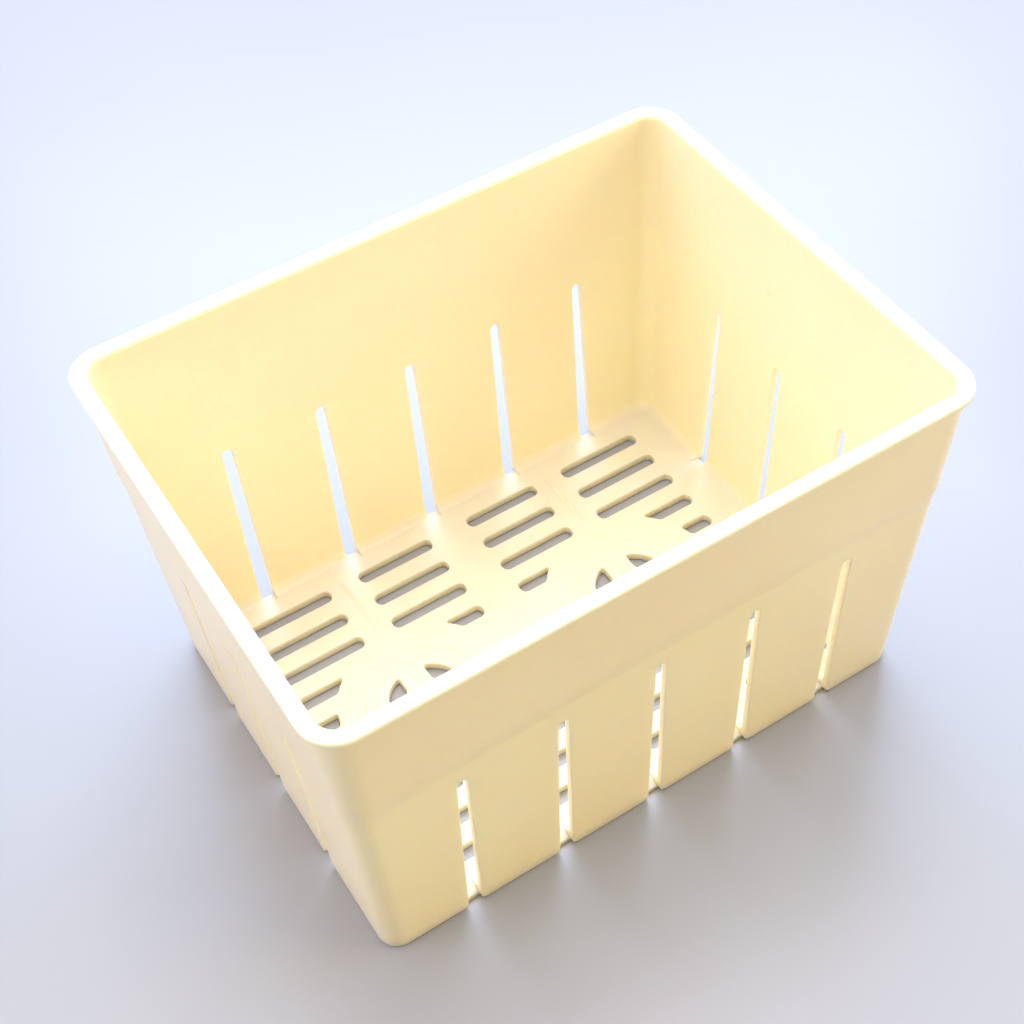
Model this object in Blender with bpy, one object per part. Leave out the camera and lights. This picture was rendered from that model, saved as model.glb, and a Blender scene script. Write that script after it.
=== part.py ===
"""Draining mold for soft cheese or bean curd.

A tapered rectangular basket, injection moulded in one shot: a drafted wall
with a flat lip at its mouth, a flat floor, vertical drain slots that run out
through the bottom edge of all four walls, rows of drain slots in the floor and
two round drain roses on the floor's long centreline.

Frame: +Z up, the floor's underside on Z = 0, X along the long side, Y along
the short side, origin under the middle of the basket. Metres.
"""
import math

import bmesh
import bpy
from mathutils import Matrix, Vector

MM = 0.001

# --- driving dimensions, millimetres -----------------------------------------
RIM_LENGTH = 135.0        # over the lip, X
RIM_WIDTH = 102.0         # over the lip, Y
HEIGHT = 84.0             # underside of the floor to the top of the lip
RIM_CORNER_R = 7.2        # plan radius of the lip's corners
LIP_FACE = 3.2            # width of the lip's top face, mouth to outer edge
LIP_THICK = 1.6           # thickness of the lip's overhang
LIP_ROUND = 0.55          # round on the lip's edges

BASE_INSET = 5.8          # inset of the outer wall from the lip's edge, at Z = 0
LOW_DRAFT = 0.050         # draft of the lower wall, mm outward per mm up
WALL = 1.6                # thickness of the lower wall
BAND_LOW = 52.6           # the step to the thicker upper band starts here ...
BAND_TOP = 57.8           # ... and ends here
BAND_INSET = 2.52         # inset of the upper band at its lower end
UNDER_INSET = 1.28        # inset of the upper band under the lip
INNER_BREAK = 50.0        # above this the inner wall leans out straight to the mouth
BASE_CORNER_R = 4.3       # plan radius of the outer wall's corners at Z = 0 ...
STEP_CORNER_R = 4.9       # ... and just under the step
MOUTH_ROUND = 1.05        # round on the mouth's inner edge
BOW_LONG = 1.10           # inward bow of the long walls at mid height
BOW_SHORT = 0.35          # the same on the short walls
FLOOR = 2.2               # floor thickness
FLOOR_FILLET = 2.4        # inside fillet, wall to floor
BASE_ROUND = 0.6          # round on the outer bottom edge

# wall slots: narrow at the top, wider at the bottom, open through the base edge
LONG_PITCH, LONG_WALL_SLOTS = 21.2, 5
SHORT_PITCH, SHORT_WALL_SLOTS = 20.8, 3
SLOT_TOP_Z = 48.6
SLOT_HEAD = 1.0           # height of the round head
SLOT_TOP_W = 2.2
SLOT_BASE_W = 3.05
SLOT_NOTCH_W = 7.0        # width of the notch at Z = 0
SLOT_NOTCH_Z = 1.15       # height of the notch
FOOT_REACH = 4.5          # the drain ramp at a slot's foot starts this far in, at floor level
FOOT_EDGE = 1.2           # and ends this far in, on top of the notch

# floor slots: rows along X, mirrored about both centrelines
ROW_FIRST = 5.71          # centreline of the row next to the middle
ROW_PITCH = 7.48
ROWS = 5
FLOOR_SLOT_W = 3.3
FLOOR_SLOT_R = 1.3        # corner radius of a floor slot
INNER_COL = (4.85, 23.35)   # X span of the inner columns
OUTER_COL = (30.75, 51.3)  # X span of the outer columns

# drain roses
ROSE_X = 26.3             # distance of each rose from the middle
ROSE_CLEAR_R = 19.4       # the rows stop at this circle
ROSE_OUT_R = 8.5
ROSE_IN_R = 4.9
ROSE_SPOKE = 6.0          # width of the four bridges
ROSE_RINGS = (10.8, 13.1)  # raised rings round each rose
RING_TUBE = 0.55          # their section radius
RING_RISE = 0.36          # how far they stand off the floor
RIDGE_X = 27.0            # low ridges between the columns
RIDGE_Y = (19.8, 38.9)

CORNER_SEGS = 7           # facets in each plan corner
LONG_COLS = (-48.0, -31.8, -10.6, 10.6, 31.8, 48.0)   # facet edges on the long walls, between slots
SHORT_COLS = (-31.0, -10.4, 10.4, 31.0)               # the same on the short walls

PI = math.pi


def clear_scene():
    for ob in list(bpy.data.objects):
        bpy.data.objects.remove(ob, do_unlink=True)
    for col in list(bpy.data.collections):
        bpy.data.collections.remove(col)


def collection(name):
    col = bpy.data.collections.new(name)
    bpy.context.scene.collection.children.link(col)
    return col


def smoothstep(t):
    t = min(1.0, max(0.0, t))
    return t * t * (3.0 - 2.0 * t)


def outer_inset(z):
    """Inset of the outer wall from the lip's outer edge at height z."""
    low = BASE_INSET - LOW_DRAFT * z
    rise = (z - BAND_TOP) / (HEIGHT - LIP_THICK - BAND_TOP)
    top = BAND_INSET + (UNDER_INSET - BAND_INSET) * rise
    return low + (top - low) * smoothstep((z - BAND_LOW) / (BAND_TOP - BAND_LOW))


def inner_inset(z):
    """Inset of the inner wall from the lip's outer edge at height z."""
    if z <= INNER_BREAK:
        return BASE_INSET - LOW_DRAFT * z + WALL
    at_break = BASE_INSET - LOW_DRAFT * INNER_BREAK + WALL
    return at_break + (LIP_FACE - at_break) * (z - INNER_BREAK) / (HEIGHT - INNER_BREAK)


def outer_corner(z):
    """Plan radius of the outer wall's corners at height z."""
    low = BASE_CORNER_R + (STEP_CORNER_R - BASE_CORNER_R) * min(1.0, z / BAND_LOW)
    band, top = STEP_CORNER_R + 0.4, RIM_CORNER_R - UNDER_INSET
    up = band + (top - band) * max(0.0, z - BAND_TOP) / (HEIGHT - LIP_THICK - BAND_TOP)
    return low + (up - low) * smoothstep((z - BAND_LOW) / (BAND_TOP - BAND_LOW))


def inner_corner(z):
    """Plan radius of the inner wall's corners at height z."""
    low = BASE_CORNER_R - 1.0
    return low + (RIM_CORNER_R - LIP_FACE - low) * z / HEIGHT


def bow(z):
    """Share of the walls' inward bow at height z: none at the base and lip."""
    return math.sin(PI * (min(HEIGHT, max(0.0, z)) / HEIGHT) ** 1.335)


def ring(inset, z, r):
    """One section of the loft: a rounded rectangle, counter-clockwise, with
    extra points along its sides so that they can bow inward."""
    hx, hy = RIM_LENGTH / 2 - inset, RIM_WIDTH / 2 - inset
    pts = []

    def corner(cx, cy, start):
        for i in range(CORNER_SEGS + 1):
            a = start + 0.5 * PI * i / CORNER_SEGS
            pts.append((cx + r * math.cos(a), cy + r * math.sin(a)))

    corner(hx - r, hy - r, 0.0)
    pts.extend((x, hy) for x in reversed(LONG_COLS))
    corner(-(hx - r), hy - r, 0.5 * PI)
    pts.extend((-hx, y) for y in reversed(SHORT_COLS))
    corner(-(hx - r), -(hy - r), PI)
    pts.extend((x, -hy) for x in LONG_COLS)
    corner(hx - r, -(hy - r), 1.5 * PI)
    pts.extend((hx, y) for y in SHORT_COLS)
    out = []
    for x, y in pts:
        fx = 1.0 - bow(z) * BOW_SHORT * max(0.0, 1.0 - (y / hy) ** 2) / hx
        fy = 1.0 - bow(z) * BOW_LONG * max(0.0, 1.0 - (x / hx) ** 2) / hy
        out.append(Vector((x * fx, y * fy, z)) * MM)
    return out


def quarter(n):
    return [0.5 * PI * i / n for i in range(n + 1)]


def shell_sections():
    """Sections from the underside, up the outside, over the lip and down
    the inside to the floor, as (inset, z, corner radius)."""
    sec = []
    # outer bottom edge, rounded
    for a in quarter(3):
        z = BASE_ROUND * (1.0 - math.cos(a))
        cut = BASE_ROUND * (1.0 - math.sin(a))
        sec.append((outer_inset(z) + cut, z, outer_corner(z) - cut))
    # outer wall, and the step to its upper band
    mid_step = 0.5 * (BAND_LOW + BAND_TOP)
    for z in (20.0, 36.0, 50.4, BAND_LOW, mid_step, BAND_TOP, 70.0):
        sec.append((outer_inset(z), z, outer_corner(z)))
    # underside of the lip with a small fillet, then its outer edge
    under = HEIGHT - LIP_THICK
    r_top = outer_corner(under)
    sec.append((UNDER_INSET, under - 0.5, r_top))
    sec.append((UNDER_INSET - 0.15, under - 0.12, r_top + 0.15))
    sec.append((UNDER_INSET - 0.5, under, r_top + 0.5))
    for a in quarter(3):
        cut = LIP_ROUND * (1.0 - math.sin(a))
        sec.append((cut, under + LIP_ROUND * (1.0 - math.cos(a)), RIM_CORNER_R - cut))
    for a in quarter(3):
        cut = LIP_ROUND * (1.0 - math.cos(a))
        sec.append((cut, HEIGHT - LIP_ROUND * (1.0 - math.sin(a)), RIM_CORNER_R - cut))
    # rounded mouth edge
    for a in quarter(3):
        cut = MOUTH_ROUND * (1.0 - math.sin(a))
        z = HEIGHT - MOUTH_ROUND * (1.0 - math.cos(a))
        sec.append((inner_inset(z) - cut, z, RIM_CORNER_R - LIP_FACE + cut))
    # inner wall down to the fillet
    for z in (70.0, 50.4, 36.0, 20.0):
        sec.append((inner_inset(z), z, inner_corner(z)))
    z_f = FLOOR + FLOOR_FILLET
    for a in quarter(5):
        z = z_f - FLOOR_FILLET * math.sin(a)
        cut = FLOOR_FILLET * (1.0 - math.cos(a))
        sec.append((inner_inset(z_f) + cut, z, max(0.5, inner_corner(z_f) - cut)))
    return sec


def loft(bm, rings):
    """Close a stack of rings of points into one solid."""
    rings = [[bm.verts.new(p) for p in pts] for pts in rings]
    n = len(rings[0])
    for low, high in zip(rings, rings[1:]):
        for i in range(n):
            j = (i + 1) % n
            bm.faces.new((low[i], low[j], high[j], high[i]))
    bm.faces.new(list(reversed(rings[0])))
    bm.faces.new(rings[-1])


def loft_shell(name):
    bm = bmesh.new()
    loft(bm, [ring(inset, z, r) for inset, z, r in shell_sections()])
    return to_object(bm, name)


def to_object(bm, name):
    bmesh.ops.recalc_face_normals(bm, faces=bm.faces[:])
    me = bpy.data.meshes.new(name)
    bm.to_mesh(me)
    bm.free()
    return bpy.data.objects.new(name, me)


def add_prism(bm, outline, lo, hi, place=Matrix(), corner_r=0.0, corners=None):
    """Extrude an outline (millimetres, in the XY plane) from lo to hi along Z,
    round the chosen corners, and put it at `place`."""
    verts = [bm.verts.new(Vector((x, y, lo)) * MM) for x, y in outline]
    face = bm.faces.new(verts)
    new = bmesh.ops.extrude_face_region(bm, geom=[face])["geom"]
    top = [v for v in new if isinstance(v, bmesh.types.BMVert)]
    bmesh.ops.translate(bm, vec=Vector((0.0, 0.0, hi - lo)) * MM, verts=top)
    everything = set(verts) | set(top)
    if corner_r > 0.0:
        chosen = range(len(outline)) if corners is None else corners
        keep = {verts[i] for i in chosen}
        rise = [e for v in keep for e in v.link_edges
                if abs(e.verts[0].co.z - e.verts[1].co.z) > 0.5 * (hi - lo) * MM]
        made = bmesh.ops.bevel(bm, geom=rise, offset=corner_r * MM, segments=3,
                               profile=0.5, affect="EDGES", clamp_overlap=True)
        everything = {v for v in everything if v.is_valid} | set(made["verts"])
    bmesh.ops.transform(bm, matrix=place, verts=list(everything))


def slot_levels():
    """A wall slot as rectangles up its height: (z, half width, reach in from
    the outer wall). From the bottom: a flared notch in the bottom edge, a ramp
    down which the whey leaves the floor, the straight slot, and a round head."""
    def slot_width(z):
        return SLOT_BASE_W + (SLOT_TOP_W - SLOT_BASE_W) * z / SLOT_TOP_Z

    levels = []
    for z in (-1.0, 0.0, 0.35, 0.75, SLOT_NOTCH_Z):
        flare = (1.0 - max(0.0, z) / SLOT_NOTCH_Z) ** 1.6
        w = slot_width(z) + (SLOT_NOTCH_W - SLOT_BASE_W) * flare
        levels.append((z, 0.5 * w, FOOT_EDGE))
    z_ramp = FLOOR + 0.3
    inside = FOOT_EDGE + (FOOT_REACH - FOOT_EDGE) * (z_ramp - SLOT_NOTCH_Z) / (FLOOR - SLOT_NOTCH_Z)
    levels.append((z_ramp, 0.5 * slot_width(z_ramp), inside))
    z_head = SLOT_TOP_Z - SLOT_HEAD
    for a in quarter(4)[:-1]:
        levels.append((z_head + SLOT_HEAD * math.sin(a), 0.5 * SLOT_TOP_W * math.cos(a), inside))
    levels.append((SLOT_TOP_Z, 0.12, inside))
    return levels


def wall_slot_cutters(name):
    """All slots of the four walls."""
    bm = bmesh.new()
    walls = ((LONG_WALL_SLOTS, LONG_PITCH, RIM_WIDTH / 2, 0.0),
             (LONG_WALL_SLOTS, LONG_PITCH, RIM_WIDTH / 2, PI),
             (SHORT_WALL_SLOTS, SHORT_PITCH, RIM_LENGTH / 2, 0.5 * PI),
             (SHORT_WALL_SLOTS, SHORT_PITCH, RIM_LENGTH / 2, -0.5 * PI))
    for count, pitch, half, turn in walls:
        for k in range(count):
            at = (k - 0.5 * (count - 1)) * pitch
            place = Matrix.Rotation(turn, 4, "Z") @ Matrix.Translation(Vector((at, 0.0, 0.0)) * MM)
            rings = []
            for z, w, reach in slot_levels():
                y0, y1 = -(half - BASE_INSET - reach), -(half + 3.0)
                rings.append([place @ (Vector((x, y, z)) * MM)
                              for x, y in ((-w, y0), (w, y0), (w, y1), (-w, y1))])
            loft(bm, rings)
    return to_object(bm, name)


def circle_trim(x, y_lo, y_hi, centre, side):
    """Points of the arc about `centre` between two heights, on one side."""
    pts = []
    for i in range(5):
        y = y_lo + (y_hi - y_lo) * i / 4
        pts.append((centre + side * math.sqrt(ROSE_CLEAR_R ** 2 - y * y), y))
    return pts


def floor_slot_cutters(name):
    """Rows of slots in the floor, with the ends next to a rose cut to its circle."""
    bm = bmesh.new()
    for row in range(ROWS):
        yc = ROW_FIRST + row * ROW_PITCH
        y0, y1 = yc - FLOOR_SLOT_W / 2, yc + FLOOR_SLOT_W / 2
        near_rose = y0 < ROSE_CLEAR_R - 3.0
        outlines = []
        if not near_rose:
            for a, b in (INNER_COL, OUTER_COL):
                outlines.append(([(a, y0), (b, y0), (b, y1), (a, y1)], (0, 1, 2, 3)))
        else:
            arc = circle_trim(ROSE_X, y0, y1, ROSE_X, 1.0)
            b = OUTER_COL[1]
            outline = [(b, y0), (b, y1)] + list(reversed(arc))
            outlines.append((outline, (0, 1, 2, len(outline) - 1)))
            inner_end = ROSE_X - math.sqrt(ROSE_CLEAR_R ** 2 - yc * yc)
            if inner_end - INNER_COL[0] > 2.0 * FLOOR_SLOT_W:
                arc = circle_trim(ROSE_X, y0, y1, ROSE_X, -1.0)
                a = INNER_COL[0]
                outline = [(a, y1), (a, y0)] + arc
                outlines.append((outline, (0, 1, 2, len(outline) - 1)))
        for outline, corners in outlines:
            for sx in (1, -1):
                for sy in (1, -1):
                    add_prism(bm, [(sx * x, sy * y) for x, y in outline], -1.0, FLOOR + 1.5,
                              Matrix(), FLOOR_SLOT_R, corners)
    return to_object(bm, name)


def rose_cutters(name):
    """Four curved slots round each rose's hub."""
    bm = bmesh.new()
    half = ROSE_SPOKE / 2
    a_out0, a_out1 = math.asin(half / ROSE_OUT_R), math.acos(half / ROSE_OUT_R)
    a_in0, a_in1 = math.asin(half / ROSE_IN_R), math.acos(half / ROSE_IN_R)
    outer = [a_out0 + (a_out1 - a_out0) * i / 6 for i in range(7)]
    inner = [a_in1, a_in0]
    petal = [(ROSE_OUT_R * math.cos(a), ROSE_OUT_R * math.sin(a)) for a in outer]
    petal += [(ROSE_IN_R * math.cos(a), ROSE_IN_R * math.sin(a)) for a in inner]
    for sx in (1, -1):
        for k in range(4):
            place = (Matrix.Translation(Vector((sx * ROSE_X, 0.0, 0.0)) * MM)
                     @ Matrix.Rotation(0.5 * PI * k, 4, "Z"))
            add_prism(bm, petal, -1.0, FLOOR + 1.5, place, 0.6, (0, 6, 7, 8))
    return to_object(bm, name)


def rose_rings(name):
    """Low rings round each rose, half sunk in the floor."""
    made = []
    for sx in (1, -1):
        for r in ROSE_RINGS:
            bpy.ops.mesh.primitive_torus_add(
                major_radius=r * MM, minor_radius=RING_TUBE * MM,
                major_segments=48, minor_segments=8,
                location=Vector((sx * ROSE_X, 0.0, FLOOR + RING_RISE - RING_TUBE)) * MM)
            made.append(bpy.context.object)
    bm = bmesh.new()
    for ob in made:
        part = bmesh.new()
        part.from_mesh(ob.data)
        bmesh.ops.transform(part, matrix=Matrix.Translation(ob.location), verts=part.verts[:])
        tmp = bpy.data.meshes.new("ring")
        part.to_mesh(tmp)
        part.free()
        bm.from_mesh(tmp)
        bpy.data.meshes.remove(tmp)
        bpy.data.objects.remove(ob, do_unlink=True)
    return to_object(bm, name)


def column_ridges(name):
    """Low ridges along Y between the columns of floor slots."""
    bm = bmesh.new()
    y_mid, y_half = sum(RIDGE_Y) / 2, (RIDGE_Y[1] - RIDGE_Y[0]) / 2
    side = 1.0
    for sx in (1, -1):
        for sy in (1, -1):
            place = (Matrix.Translation(Vector((sx * RIDGE_X, sy * y_mid, FLOOR + 0.22 - side / math.sqrt(2))) * MM)
                     @ Matrix.Rotation(0.25 * PI, 4, "Y")
                     @ Matrix.Diagonal((side * MM, 2 * y_half * MM, side * MM, 1.0)))
            bmesh.ops.create_cube(bm, size=1.0, matrix=place)
    return to_object(bm, name)


def plastic(name, rgb, rough):
    mat = bpy.data.materials.new(name)
    mat.use_nodes = True
    shader = mat.node_tree.nodes["Principled BSDF"]
    shader.inputs["Base Color"].default_value = (*rgb, 1.0)
    shader.inputs["Roughness"].default_value = rough
    shader.inputs["Metallic"].default_value = 0.0
    mat.diffuse_color = (*rgb, 1.0)
    return mat


def main():
    clear_scene()
    parts = collection("cheese_mold")
    tools = collection("cutters")

    basket = loft_shell("mold_basket")
    parts.objects.link(basket)
    basket.data.materials.append(plastic("cream_polypropylene", (0.90, 0.77, 0.52), 0.32))

    steps = (
        ("rose_rings_add", rose_rings("rose_rings_add"), "UNION"),
        ("column_ridges_add", column_ridges("column_ridges_add"), "UNION"),
        ("wall_slot_cut", wall_slot_cutters("wall_slot_cut"), "DIFFERENCE"),
        ("floor_slot_cut", floor_slot_cutters("floor_slot_cut"), "DIFFERENCE"),
        ("rose_cut", rose_cutters("rose_cut"), "DIFFERENCE"),
    )
    for name, tool, operation in steps:
        tools.objects.link(tool)
        tool.hide_render = True
        tool.display_type = "WIRE"
        mod = basket.modifiers.new(name, "BOOLEAN")
        mod.operation = operation
        mod.solver = "EXACT"
        mod.object = tool

    basket.data.shade_smooth()
    basket.data.set_sharp_from_angle(angle=math.radians(35))
    bpy.context.view_layer.update()


main()
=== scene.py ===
"""Looks for the cheese mold: the finished basket, its plastic, the table, the
light and the camera. Metres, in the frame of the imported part."""
import math
import bmesh
import bpy
from mathutils import Matrix, Vector


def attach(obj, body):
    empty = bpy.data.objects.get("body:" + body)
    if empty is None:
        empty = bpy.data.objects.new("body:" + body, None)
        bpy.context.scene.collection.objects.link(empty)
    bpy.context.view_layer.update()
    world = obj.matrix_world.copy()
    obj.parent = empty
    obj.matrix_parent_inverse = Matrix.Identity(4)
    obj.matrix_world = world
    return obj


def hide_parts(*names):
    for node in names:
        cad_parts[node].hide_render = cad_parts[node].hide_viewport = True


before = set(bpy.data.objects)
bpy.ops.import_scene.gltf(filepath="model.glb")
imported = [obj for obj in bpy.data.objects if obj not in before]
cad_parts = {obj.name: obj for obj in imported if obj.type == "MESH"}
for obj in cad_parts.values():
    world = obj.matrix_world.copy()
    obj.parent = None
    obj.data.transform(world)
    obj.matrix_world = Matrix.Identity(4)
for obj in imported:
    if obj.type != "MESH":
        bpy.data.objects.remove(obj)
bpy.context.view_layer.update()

MM = 0.001
PI = math.pi

# --- the basket's dimensions, millimetres ------------------------------------
RIM_LENGTH, RIM_WIDTH, HEIGHT = 135.0, 102.0, 84.0
RIM_CORNER_R = 7.2
LIP_FACE, LIP_THICK, LIP_ROUND, MOUTH_ROUND = 3.2, 1.6, 0.55, 1.05
BASE_INSET = 5.8
LOW_DRAFT = 0.050
WALL = 1.6
BAND_LOW, BAND_TOP, BAND_INSET = 52.6, 57.8, 2.52
INNER_BREAK = 50.0
BASE_CORNER_R, BAND_CORNER_R = 4.3, 4.9
BOW_LONG, BOW_SHORT = 1.10, 0.35
FLOOR, FLOOR_FILLET, BASE_ROUND = 2.2, 2.4, 0.6

LONG_PITCH, SHORT_PITCH = 21.2, 20.8
SLOT_TOP_Z, SLOT_TOP_W, SLOT_BASE_W = 48.6, 2.2, 3.05
SLOT_NOTCH_W, SLOT_NOTCH_Z = 7.0, 1.15
FOOT_REACH, FOOT_EDGE = 4.5, 1.2

ROW_FIRST, ROW_PITCH, ROWS = 5.71, 7.48, 5
FLOOR_SLOT_W, FLOOR_SLOT_R = 3.3, 1.42
INNER_COL, OUTER_COL = (4.85, 23.35), (30.75, 51.3)
ROSE_X, ROSE_CLEAR_R = 26.3, 19.4
ROSE_OUT_R, ROSE_IN_R, ROSE_SPOKE = 8.5, 4.9, 6.0
ROSE_RINGS, RING_HALF, RING_RISE = (10.8, 13.1), 0.62, 0.36
RIDGE_X, RIDGE_Y = 27.0, (19.8, 38.9)

CORNER_SEGS = 16
EDGE_ROUND = 0.22


def smoothstep(t):
    t = min(1.0, max(0.0, t))
    return t * t * (3.0 - 2.0 * t)


def outer_inset(z):
    low = BASE_INSET - LOW_DRAFT * z
    top_z = HEIGHT - LIP_THICK
    top = BAND_INSET + (1.28 - BAND_INSET) * (z - BAND_TOP) / (top_z - BAND_TOP)
    t = smoothstep((z - BAND_LOW) / (BAND_TOP - BAND_LOW))
    return low + (top - low) * t


def inner_inset(z):
    if z <= INNER_BREAK:
        return BASE_INSET - LOW_DRAFT * z + WALL
    at_break = BASE_INSET - LOW_DRAFT * INNER_BREAK + WALL
    return at_break + (LIP_FACE - at_break) * (z - INNER_BREAK) / (HEIGHT - INNER_BREAK)


def outer_corner(z):
    """Plan radius of the outer wall's corners at height z."""
    top = RIM_CORNER_R - 1.28
    low = BASE_CORNER_R + (BAND_CORNER_R - BASE_CORNER_R) * min(1.0, z / BAND_LOW)
    t = smoothstep((z - BAND_LOW) / (BAND_TOP - BAND_LOW))
    up = BAND_CORNER_R + 0.4 + (top - BAND_CORNER_R - 0.4) * max(0.0, z - BAND_TOP) / (HEIGHT - LIP_THICK - BAND_TOP)
    return low + (up - low) * t


def inner_corner(z):
    low = outer_corner(0.0) - 1.0
    return low + (RIM_CORNER_R - LIP_FACE - low) * z / HEIGHT


def bow(z):
    """How much of the walls' inward bow is felt at height z."""
    return math.sin(PI * (min(HEIGHT, max(0.0, z)) / HEIGHT) ** 1.335)


LONG_COLS = sorted([s * v for s in (-1, 1) for v in (3.4, 10.6, 17.8, 24.6, 31.8, 39.0, 45.8, 51.5)])
SHORT_COLS = sorted([s * v for s in (-1, 1) for v in (3.4, 10.4, 17.4, 24.2, 31.0, 37.0)])


def ring(inset, z, r, bowed=1.0):
    """One section: a rounded rectangle with extra points along its sides."""
    hx, hy = RIM_LENGTH / 2 - inset, RIM_WIDTH / 2 - inset
    pts = []

    def corner(cx, cy, start):
        for i in range(CORNER_SEGS + 1):
            a = start + 0.5 * PI * i / CORNER_SEGS
            pts.append((cx + r * math.cos(a), cy + r * math.sin(a)))

    corner(hx - r, hy - r, 0.0)
    pts.extend((x, hy) for x in reversed(LONG_COLS))
    corner(-(hx - r), hy - r, 0.5 * PI)
    pts.extend((-hx, y) for y in reversed(SHORT_COLS))
    corner(-(hx - r), -(hy - r), PI)
    pts.extend((x, -hy) for x in LONG_COLS)
    corner(hx - r, -(hy - r), 1.5 * PI)
    pts.extend((hx, y) for y in SHORT_COLS)
    b = bow(z) * bowed
    out = []
    for x, y in pts:
        fx = 1.0 - b * BOW_SHORT * max(0.0, 1.0 - (y / hy) ** 2) / hx
        fy = 1.0 - b * BOW_LONG * max(0.0, 1.0 - (x / hx) ** 2) / hy
        out.append(Vector((x * fx, y * fy, z)) * MM)
    return out


def arc(n):
    return [0.5 * PI * i / n for i in range(n + 1)]


def shell_sections():
    sec = []
    for a in arc(5):
        z = BASE_ROUND * (1.0 - math.cos(a))
        cut = BASE_ROUND * (1.0 - math.sin(a))
        sec.append((outer_inset(z) + cut, z, outer_corner(z) - cut))
    for z in (4.0, 9.0, 14.0, 19.0, 24.0, 29.0, 34.0, 39.0, 43.0, 46.0, 50.2, 51.6):
        sec.append((outer_inset(z), z, outer_corner(z)))
    for i in range(9):
        z = BAND_LOW + (BAND_TOP - BAND_LOW) * i / 8
        sec.append((outer_inset(z), z, outer_corner(z)))
    for z in (59.5, 62.0, 65.0, 69.0, 73.0, 77.0, 80.5):
        sec.append((outer_inset(z), z, outer_corner(z)))
    under = HEIGHT - LIP_THICK
    r_top = outer_corner(under)
    fil = 0.55
    for a in arc(5):
        cut = fil * (1.0 - math.cos(a))
        z = under - fil * (1.0 - math.sin(a))
        sec.append((outer_inset(under) - cut, z, r_top + cut))
    for a in arc(5):
        cut = LIP_ROUND * (1.0 - math.sin(a))
        sec.append((cut, under + LIP_ROUND * (1.0 - math.cos(a)), RIM_CORNER_R - cut))
    for a in arc(5):
        cut = LIP_ROUND * (1.0 - math.cos(a))
        sec.append((cut, HEIGHT - LIP_ROUND * (1.0 - math.sin(a)), RIM_CORNER_R - cut))
    r_in = RIM_CORNER_R - LIP_FACE
    for a in arc(7):
        cut = MOUTH_ROUND * (1.0 - math.sin(a))
        z = HEIGHT - MOUTH_ROUND * (1.0 - math.sin(0.5 * PI - a))
        sec.append((inner_inset(z) - cut, z, r_in + cut))
    for z in (79.0, 75.0, 71.0, 67.0, 63.0, 59.0, 55.0, 50.2, 46.0, 43.0, 39.0, 34.0, 29.0, 24.0, 19.0, 14.0, 9.0):
        sec.append((inner_inset(z), z, inner_corner(z)))
    z_f = FLOOR + FLOOR_FILLET
    r_low = inner_corner(z_f)
    for a in arc(8):
        z = z_f - FLOOR_FILLET * math.sin(a)
        cut = FLOOR_FILLET * (1.0 - math.cos(a))
        sec.append((inner_inset(z_f) + cut, z, max(0.5, r_low - cut)))
    return sec


def to_object(bm, name):
    bmesh.ops.recalc_face_normals(bm, faces=bm.faces[:])
    me = bpy.data.meshes.new(name)
    bm.to_mesh(me)
    bm.free()
    ob = bpy.data.objects.new(name, me)
    bpy.context.scene.collection.objects.link(ob)
    return ob


def loft(bm, rings):
    n = len(rings[0])
    for low, high in zip(rings, rings[1:]):
        for i in range(n):
            j = (i + 1) % n
            bm.faces.new((low[i], low[j], high[j], high[i]))
    bm.faces.new(list(reversed(rings[0])))
    bm.faces.new(rings[-1])


def loft_shell(name):
    bm = bmesh.new()
    rings = []
    sections = shell_sections()
    for k, (inset, z, r) in enumerate(sections):
        rings.append([bm.verts.new(p) for p in ring(inset, z, r)])
    loft(bm, rings)
    return to_object(bm, name)


def wall_slot_cutters(name):
    """A slot is a stack of rectangles along Z: a flared notch in the bottom
    edge, a ramp that leads off the floor, the straight slot and a round head."""
    def slot_width(z):
        return SLOT_BASE_W + (SLOT_TOP_W - SLOT_BASE_W) * z / SLOT_TOP_Z

    bm = bmesh.new()
    walls = ((5, LONG_PITCH, RIM_WIDTH / 2, 0.0), (5, LONG_PITCH, RIM_WIDTH / 2, PI),
             (3, SHORT_PITCH, RIM_LENGTH / 2, 0.5 * PI), (3, SHORT_PITCH, RIM_LENGTH / 2, -0.5 * PI))
    head = 1.0
    z_ramp = FLOOR + 0.3
    reach = FOOT_EDGE + (FOOT_REACH - FOOT_EDGE) * (z_ramp - SLOT_NOTCH_Z) / (FLOOR - SLOT_NOTCH_Z)
    for count, pitch, half, turn in walls:
        base = half - BASE_INSET
        levels = []
        for z in (-1.0, 0.0, 0.35, 0.75, SLOT_NOTCH_Z):
            flare = (1.0 - max(0.0, z) / SLOT_NOTCH_Z) ** 1.6
            w = slot_width(z) + (SLOT_NOTCH_W - SLOT_BASE_W) * flare
            levels.append((z, w / 2, base - FOOT_EDGE))
        levels.append((z_ramp, slot_width(z_ramp) / 2, base - reach))
        top = SLOT_TOP_Z - head
        levels.append((top, SLOT_TOP_W / 2, base - reach))
        for i in range(1, 8):
            a = 0.5 * PI * i / 7
            levels.append((top + head * math.sin(a), max(0.12, 0.5 * SLOT_TOP_W * math.cos(a)), base - reach))
        for k in range(count):
            at = (k - 0.5 * (count - 1)) * pitch
            place = Matrix.Rotation(turn, 4, "Z") @ Matrix.Translation(Vector((at, 0.0, 0.0)) * MM)
            rings = []
            for z, w, inner in levels:
                y0, y1 = -inner, -(half + 3.0)
                corners = ((-w, y0), (w, y0), (w, y1), (-w, y1))
                rings.append([bm.verts.new(place @ (Vector((x, y, z)) * MM)) for x, y in corners])
            loft(bm, rings)
    return to_object(bm, name)


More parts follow.
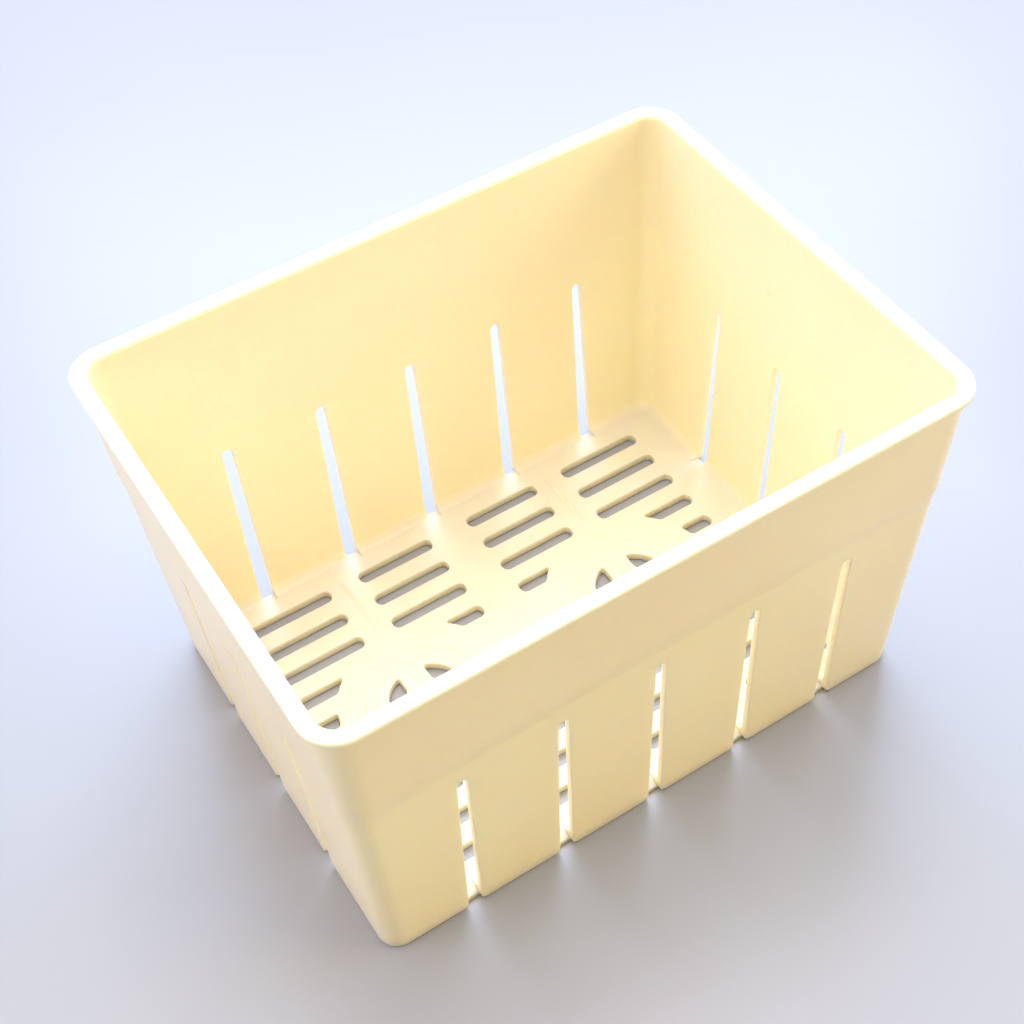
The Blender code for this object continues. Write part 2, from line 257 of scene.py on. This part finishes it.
def rounded_outline(points, radius, segs, corners):
    """Round chosen corners of a closed outline; every corner is convex."""
    out = []
    n = len(points)
    for i, p in enumerate(points):
        p = Vector(p)
        if i not in corners:
            out.append(p)
            continue
        a, b = Vector(points[i - 1]), Vector(points[(i + 1) % n])
        da, db = (a - p), (b - p)
        la, lb = da.length, db.length
        da.normalize()
        db.normalize()
        half = 0.5 * da.angle(db)
        cut = min(radius / math.tan(half), 0.48 * la, 0.48 * lb)
        r = cut * math.tan(half)
        centre = p + (da + db).normalized() * (r / math.sin(half))
        start, end = p + da * cut - centre, p + db * cut - centre
        a0 = math.atan2(start.y, start.x)
        turn = math.atan2(end.y, end.x) - a0
        while turn > PI:
            turn -= 2 * PI
        while turn < -PI:
            turn += 2 * PI
        for k in range(segs + 1):
            t = a0 + turn * k / segs
            out.append(centre + Vector((r * math.cos(t), r * math.sin(t))))
    return out


def add_prism(bm, outline, lo, hi, place=Matrix()):
    rings = []
    for z in (lo, hi):
        rings.append([bm.verts.new(place @ (Vector((p[0], p[1], z)) * MM)) for p in outline])
    loft(bm, rings)


def circle_trim(y_lo, y_hi, side, n=8):
    return [(ROSE_X + side * math.sqrt(ROSE_CLEAR_R ** 2 - y * y), y)
            for y in [y_lo + (y_hi - y_lo) * i / n for i in range(n + 1)]]


def floor_slot_cutters(name):
    bm = bmesh.new()
    for row in range(ROWS):
        yc = ROW_FIRST + row * ROW_PITCH
        y0, y1 = yc - FLOOR_SLOT_W / 2, yc + FLOOR_SLOT_W / 2
        outlines = []
        if y0 > ROSE_CLEAR_R - 3.0:
            for a, b in (INNER_COL, OUTER_COL):
                outlines.append(rounded_outline([(a, y0), (b, y0), (b, y1), (a, y1)],
                                                FLOOR_SLOT_R, 6, (0, 1, 2, 3)))
        else:
            b = OUTER_COL[1]
            outline = [(b, y0), (b, y1)] + list(reversed(circle_trim(y0, y1, 1.0, 2)))
            outlines.append(rounded_outline(outline, FLOOR_SLOT_R, 6, (0, 1, 2, len(outline) - 1)))
            inner_end = ROSE_X - math.sqrt(ROSE_CLEAR_R ** 2 - yc * yc)
            if inner_end - INNER_COL[0] > 2.0 * FLOOR_SLOT_W:
                a = INNER_COL[0]
                outline = [(a, y1), (a, y0)] + circle_trim(y0, y1, -1.0, 2)
                outlines.append(rounded_outline(outline, FLOOR_SLOT_R, 6, (0, 1, 2, len(outline) - 1)))
        for outline in outlines:
            for sx in (1, -1):
                for sy in (1, -1):
                    add_prism(bm, [(sx * p[0], sy * p[1]) for p in outline], -1.0, FLOOR + 1.5)
    return to_object(bm, name)


def rose_cutters(name):
    bm = bmesh.new()
    half = ROSE_SPOKE / 2
    a_out0, a_out1 = math.asin(half / ROSE_OUT_R), math.acos(half / ROSE_OUT_R)
    a_in0, a_in1 = math.asin(half / ROSE_IN_R), math.acos(half / ROSE_IN_R)
    outer = [a_out0 + (a_out1 - a_out0) * i / 16 for i in range(17)]
    inner = [a_in1, a_in0]
    petal = [(ROSE_OUT_R * math.cos(a), ROSE_OUT_R * math.sin(a)) for a in outer]
    petal += [(ROSE_IN_R * math.cos(a), ROSE_IN_R * math.sin(a)) for a in inner]
    # no outline point may lie inside a corner's round, so the arc skips its ends
    outline = [petal[i] for i in (0, 4, 6, 8, 10, 12, 16, 17, 18)]
    rounded = rounded_outline(outline, 1.1, 5, (0, 6, 7, 8))
    for sx in (1, -1):
        for k in range(4):
            place = (Matrix.Translation(Vector((sx * ROSE_X, 0.0, 0.0)) * MM)
                     @ Matrix.Rotation(0.5 * PI * k, 4, "Z"))
            add_prism(bm, rounded, -1.0, FLOOR + 1.5, place)
    return to_object(bm, name)


def ring_profile(n=10):
    """A low smooth hump, and the underside that hides in the floor."""
    prof = []
    for i in range(n + 1):
        t = -1.0 + 2.0 * i / n
        prof.append((t * RING_HALF, RING_RISE * math.cos(0.5 * PI * t) ** 1.5 - 0.012))
    return prof + [(RING_HALF, -0.6), (-RING_HALF, -0.6)]


def rose_rings(name):
    bm = bmesh.new()
    segs = 128
    for sx in (1, -1):
        for radius in ROSE_RINGS:
            rows = []
            for k in range(segs):
                a = 2 * PI * k / segs
                rows.append([bm.verts.new(Vector((sx * ROSE_X + (radius + dx) * math.cos(a),
                                                  (radius + dx) * math.sin(a), FLOOR + dz)) * MM)
                             for dx, dz in ring_profile()])
            n = len(rows[0])
            for k in range(segs):
                p, q = rows[k], rows[(k + 1) % segs]
                for i in range(n):
                    j = (i + 1) % n
                    bm.faces.new((p[i], p[j], q[j], q[i]))
    return to_object(bm, name)


def column_ridges(name):
    bm = bmesh.new()
    for sx in (1, -1):
        for sy in (1, -1):
            rows = []
            ys = [RIDGE_Y[0] + (RIDGE_Y[1] - RIDGE_Y[0]) * i / 20 for i in range(21)]
            for i, y in enumerate(ys):
                fade = min(1.0, 6.0 * min(i, 20 - i) / 20 + 0.02)
                rows.append([bm.verts.new(Vector((sx * RIDGE_X + dx * 0.8,
                                                  sy * y, FLOOR + (dz * fade if dz > -0.3 else dz))) * MM)
                             for dx, dz in ring_profile(8)])
            n = len(rows[0])
            for p, q in zip(rows, rows[1:]):
                for i in range(n):
                    j = (i + 1) % n
                    bm.faces.new((p[i], p[j], q[j], q[i]))
            bm.faces.new(rows[0])
            bm.faces.new(list(reversed(rows[-1])))
    return to_object(bm, name)


def apply_modifiers(ob):
    graph = bpy.context.evaluated_depsgraph_get()
    me = bpy.data.meshes.new_from_object(ob.evaluated_get(graph))
    ob.modifiers.clear()
    old = ob.data
    ob.data = me
    bpy.data.meshes.remove(old)


def in_relief(p):
    """True near the low rings and ridges on the floor, which keep their own soft profile."""
    if abs(p.z - FLOOR) > 0.45:
        return False
    r = math.hypot(abs(p.x) - ROSE_X, p.y)
    if 10.0 < r < 14.6:
        return True
    return abs(abs(p.x) - RIDGE_X) < 0.9 and RIDGE_Y[0] - 0.3 < abs(p.y) < RIDGE_Y[1] + 0.3


def mark_cut_edges(mesh):
    """Bevel weight on the edges that the cutters left."""
    bm = bmesh.new()
    bm.from_mesh(mesh)
    layer = bm.edges.layers.float.new("bevel_weight_edge")
    for e in bm.edges:
        if e.is_manifold and e.calc_face_angle() > math.radians(38):
            mid = 0.5 * (e.verts[0].co + e.verts[1].co) / MM
            if not in_relief(mid):
                e[layer] = 1.0
    bm.to_mesh(mesh)
    bm.free()


def build_basket():
    basket = loft_shell("basket_shell")
    steps = ((rose_rings("t_rings"), "UNION"), (column_ridges("t_ridges"), "UNION"),
             (wall_slot_cutters("t_wall_slots"), "DIFFERENCE"),
             (floor_slot_cutters("t_floor_slots"), "DIFFERENCE"),
             (rose_cutters("t_roses"), "DIFFERENCE"))
    for tool, operation in steps:
        mod = basket.modifiers.new(tool.name, "BOOLEAN")
        mod.operation = operation
        mod.solver = "EXACT"
        mod.object = tool
    bpy.context.view_layer.update()
    apply_modifiers(basket)
    for tool, _ in steps:
        bpy.data.objects.remove(tool, do_unlink=True)
    bm = bmesh.new()
    bm.from_mesh(basket.data)
    bmesh.ops.remove_doubles(bm, verts=bm.verts[:], dist=2e-6)
    bmesh.ops.dissolve_limit(bm, angle_limit=math.radians(0.1), verts=bm.verts[:], edges=bm.edges[:])
    bm.to_mesh(basket.data)
    bm.free()
    mark_cut_edges(basket.data)
    bev = basket.modifiers.new("edge_round", "BEVEL")
    bev.limit_method = "WEIGHT"
    bev.width = EDGE_ROUND * MM
    bev.segments = 3
    bev.use_clamp_overlap = False
    bev.loop_slide = True
    bpy.context.view_layer.update()
    apply_modifiers(basket)
    # the rounding leaves a zero-length edge at each end of a notch: close it
    bm = bmesh.new()
    bm.from_mesh(basket.data)
    bmesh.ops.dissolve_degenerate(bm, dist=2e-7, edges=bm.edges[:])
    bmesh.ops.remove_doubles(bm, verts=bm.verts[:], dist=2e-7)
    bm.to_mesh(basket.data)
    bm.free()
    basket.data.shade_smooth()
    basket.data.set_sharp_from_angle(angle=math.radians(32))
    wn = basket.modifiers.new("normals", "WEIGHTED_NORMAL")
    wn.keep_sharp = True
    wn.weight = 60
    bpy.context.view_layer.update()
    apply_modifiers(basket)
    return basket


# --- materials ----------------------------------------------------------------
def node(tree, kind, x=0, y=0, **values):
    n = tree.nodes.new(kind)
    n.location = (x, y)
    for key, value in values.items():
        setattr(n, key, value)
    return n


def cream_plastic():
    mat = bpy.data.materials.new("cream_polypropylene")
    mat.use_nodes = True
    tree = mat.node_tree
    link = tree.links.new
    shader = tree.nodes["Principled BSDF"]
    coord = node(tree, "ShaderNodeTexCoord", -1200, 0)

    cloud = node(tree, "ShaderNodeTexNoise", -900, 200)
    cloud.inputs["Scale"].default_value = 38.0
    cloud.inputs["Detail"].default_value = 4.0
    link(coord.outputs["Object"], cloud.inputs["Vector"])
    tint = node(tree, "ShaderNodeValToRGB", -600, 250)
    tint.color_ramp.elements[0].position = 0.30
    tint.color_ramp.elements[0].color = (0.928, 0.808, 0.566, 1)
    tint.color_ramp.elements[1].position = 0.72
    tint.color_ramp.elements[1].color = (0.943, 0.828, 0.591, 1)
    link(cloud.outputs["Fac"], tint.inputs["Fac"])
    link(tint.outputs["Color"], shader.inputs["Base Color"])

    # the mould's fine satin texture, on top of a faint orange peel
    peel = node(tree, "ShaderNodeTexNoise", -900, -100)
    peel.inputs["Scale"].default_value = 420.0
    peel.inputs["Detail"].default_value = 1.0
    link(coord.outputs["Object"], peel.inputs["Vector"])
    grain = node(tree, "ShaderNodeTexNoise", -900, -350)
    grain.inputs["Scale"].default_value = 3200.0
    grain.inputs["Detail"].default_value = 2.0
    link(coord.outputs["Object"], grain.inputs["Vector"])
    wave = node(tree, "ShaderNodeBump", -560, -150)
    wave.inputs["Strength"].default_value = 0.35
    wave.inputs["Distance"].default_value = 0.00006
    link(peel.outputs["Fac"], wave.inputs["Height"])
    bump = node(tree, "ShaderNodeBump", -300, -250)
    bump.inputs["Strength"].default_value = 0.25
    bump.inputs["Distance"].default_value = 0.00003
    link(grain.outputs["Fac"], bump.inputs["Height"])
    link(wave.outputs["Normal"], bump.inputs["Normal"])
    link(bump.outputs["Normal"], shader.inputs["Normal"])

    # handling has polished some patches a little more than others
    worn = node(tree, "ShaderNodeTexNoise", -900, -600)
    worn.inputs["Scale"].default_value = 24.0
    worn.inputs["Detail"].default_value = 5.0
    worn.inputs["Roughness"].default_value = 0.6
    link(coord.outputs["Object"], worn.inputs["Vector"])
    gloss = node(tree, "ShaderNodeMapRange", -300, 0)
    gloss.inputs["From Min"].default_value = 0.3
    gloss.inputs["From Max"].default_value = 0.7
    gloss.inputs["To Min"].default_value = 0.27
    gloss.inputs["To Max"].default_value = 0.36
    link(worn.outputs["Fac"], gloss.inputs["Value"])
    link(gloss.outputs["Result"], shader.inputs["Roughness"])

    shader.inputs["Metallic"].default_value = 0.0
    shader.inputs["IOR"].default_value = 1.49
    shader.inputs["Subsurface Weight"].default_value = 0.85
    shader.inputs["Subsurface Radius"].default_value = (1.0, 0.78, 0.38)
    shader.inputs["Subsurface Scale"].default_value = 0.0034
    return mat


def table_material():
    mat = bpy.data.materials.new("table_top")
    mat.use_nodes = True
    tree = mat.node_tree
    link = tree.links.new
    shader = tree.nodes["Principled BSDF"]
    coord = node(tree, "ShaderNodeTexCoord", -900, 0)
    noise = node(tree, "ShaderNodeTexNoise", -700, 0)
    noise.inputs["Scale"].default_value = 6.0
    noise.inputs["Detail"].default_value = 3.0
    link(coord.outputs["Object"], noise.inputs["Vector"])
    ramp = node(tree, "ShaderNodeValToRGB", -450, 0)
    ramp.color_ramp.elements[0].position = 0.3
    ramp.color_ramp.elements[0].color = (0.390, 0.398, 0.370, 1)
    ramp.color_ramp.elements[1].position = 0.7
    ramp.color_ramp.elements[1].color = (0.406, 0.412, 0.384, 1)
    link(noise.outputs["Fac"], ramp.inputs["Fac"])
    link(ramp.outputs["Color"], shader.inputs["Base Color"])
    shader.inputs["Roughness"].default_value = 0.28
    shader.inputs["IOR"].default_value = 1.4
    return mat


# --- build --------------------------------------------------------------------
basket = build_basket()
basket.name = "basket_finished"
basket.data.materials.clear()
basket.data.materials.append(cream_plastic())
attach(basket, "root")
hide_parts("mold_basket")

floor_mesh = bmesh.new()
bmesh.ops.create_grid(floor_mesh, x_segments=4, y_segments=4, size=3.0)
table = to_object(floor_mesh, "table")
table.data.materials.append(table_material())
table.location = (0.0, 0.0, -0.0001)

# --- light --------------------------------------------------------------------
world = bpy.data.worlds.new("studio")
bpy.context.scene.world = world
world.use_nodes = True
back = world.node_tree.nodes["Background"]
back.inputs["Color"].default_value = (1.0, 0.905, 0.80, 1.0)
back.inputs["Strength"].default_value = 0.33


def softbox(name, place, aim, size, watts, rgb):
    light = bpy.data.lights.new(name, "AREA")
    light.shape = "RECTANGLE"
    light.size, light.size_y = size
    light.energy = watts
    light.color = rgb
    ob = bpy.data.objects.new(name, light)
    bpy.context.scene.collection.objects.link(ob)
    ob.location = place
    ob.rotation_euler = (Vector(aim) - Vector(place)).to_track_quat("-Z", "Y").to_euler()
    return ob


# (name, place, size, watts per channel): a big box over and behind the basket,
# and weaker ones at its sides, the two in front of it warm
AIM = (0.0, 0.0, 0.03)
for name, place, size, rgb in (
        ("box_back", (0.34, 0.62, 0.80), (0.8, 0.6), (7.2, 9.3, 14.2)),
        ("box_top", (0.0, 0.05, 1.0), (0.8, 0.8), (7.6, 7.2, 8.2)),
        ("box_left", (-0.85, 0.15, 0.55), (0.6, 0.6), (2.8, 3.4, 4.0)),
        ("box_right", (0.85, 0.0, 0.55), (0.6, 0.6), (2.7, 3.3, 6.0)),
        ("box_front_right", (0.72, -0.60, 0.38), (0.5, 0.5), (4.0, 3.1, 1.8)),
        ("box_low_left", (-0.80, 0.50, 0.38), (0.5, 0.5), (2.4, 1.4, 2.4))):
    top = max(rgb)
    softbox(name, place, AIM, size, top, tuple(v / top for v in rgb))

# --- camera -------------------------------------------------------------------
cam_data = bpy.data.cameras.new("camera")
cam = bpy.data.objects.new("camera", cam_data)
bpy.context.scene.collection.objects.link(cam)
FOCAL, CENTRE = 1710.540, (543.539, 494.897)
RVEC, TVEC = Vector((2.347885, -0.710154, 0.209216)), Vector((-2.02801, 32.50123, 371.45533))
turn = Matrix.Rotation(RVEC.length, 3, RVEC.normalized())
place = -(turn.transposed() @ TVEC) * MM
cam.matrix_world = Matrix.Translation(place) @ (turn.transposed() @ Matrix.Diagonal((1.0, -1.0, -1.0))).to_4x4()
cam_data.sensor_width = 36.0
cam_data.lens = FOCAL / 1024.0 * 36.0
cam_data.shift_x = -(CENTRE[0] - 512.0) / 1024.0
cam_data.shift_y = (CENTRE[1] - 512.0) / 1024.0
cam_data.clip_start = 0.01
bpy.context.scene.camera = cam

bpy.context.scene.view_settings.view_transform = "Standard"
